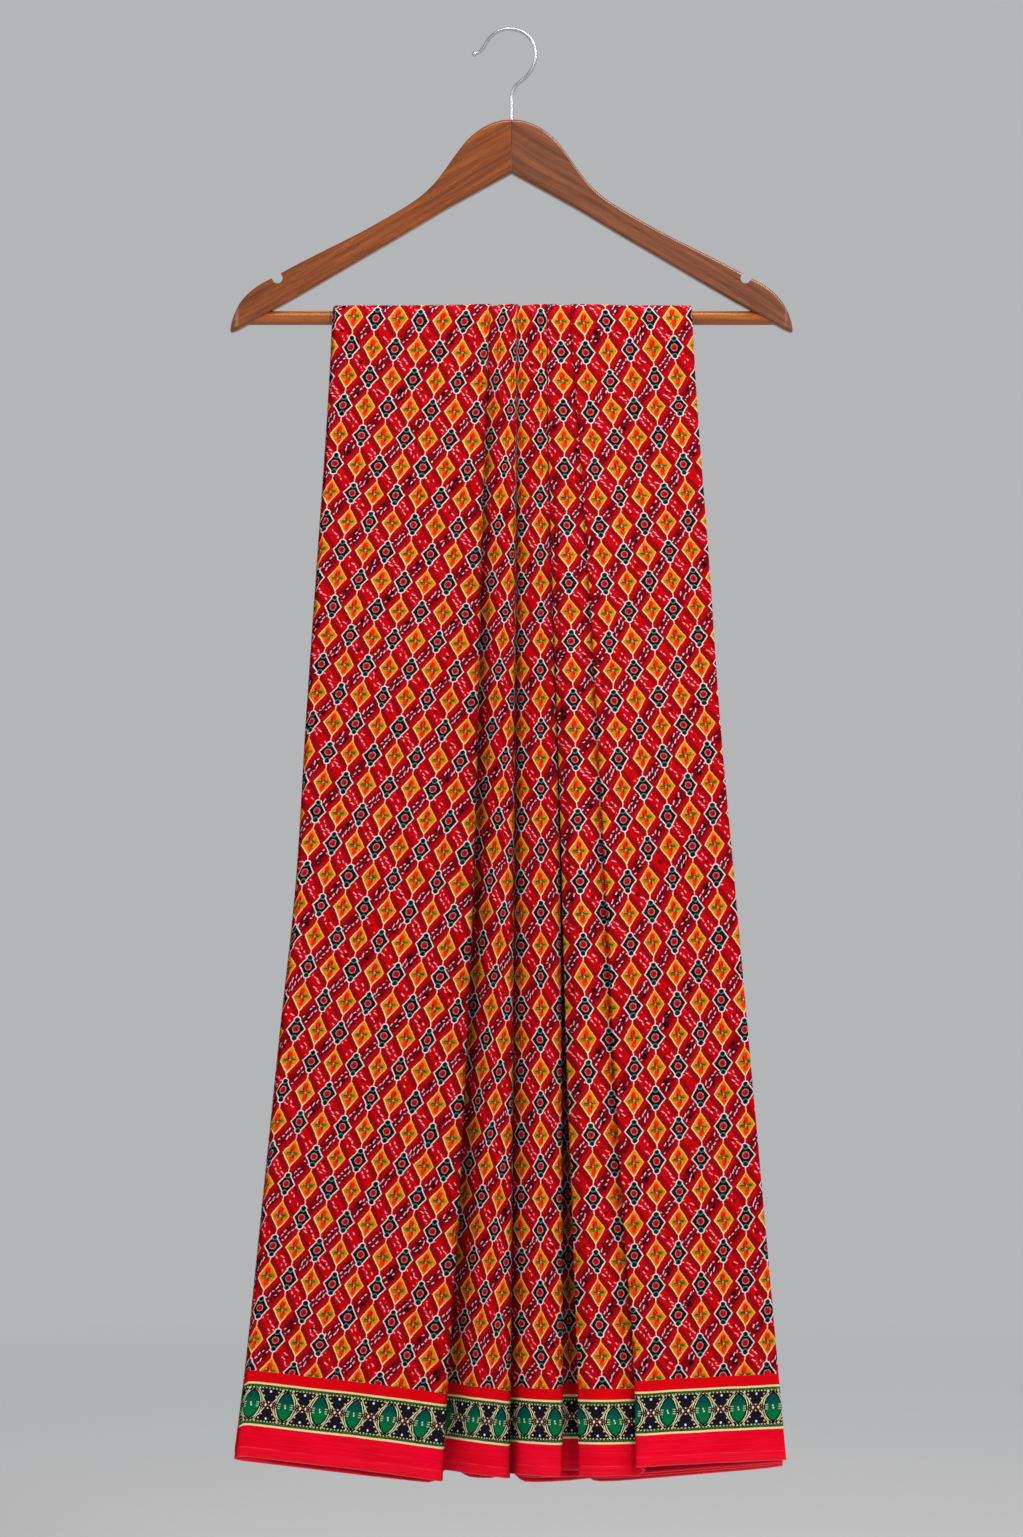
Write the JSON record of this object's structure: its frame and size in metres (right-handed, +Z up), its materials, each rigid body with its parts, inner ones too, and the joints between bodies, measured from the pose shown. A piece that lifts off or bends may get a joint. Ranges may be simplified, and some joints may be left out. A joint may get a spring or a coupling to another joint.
{
  "type": "sari on clothes hanger",
  "caption": "Long printed sari folded into a stack, pleated at the front and draped over the bar of a wooden clothes hanger with a wire hook.",
  "frame": {"origin": "the point inside the top of the hook that rests on a clothes rail", "axes": "+Z up, -Y towards the front of the cloth, +X to the right seen from the front"},
  "size_m": [0.4442, 0.0435, 1.1469],
  "materials": {
    "sari_cloth": "matte printed crepe with a soft sheen",
    "hanger_wood": "satin stained and lacquered",
    "bar_wood": "satin lacquered",
    "hook_steel": "polished chrome"
  },
  "bodies": {
    "root": {"sari": "sari_cloth", "arm_left": "hanger_wood", "arm_right": "hanger_wood", "bar": "bar_wood", "hook": "hook_steel"}
  },
  "joints": []
}
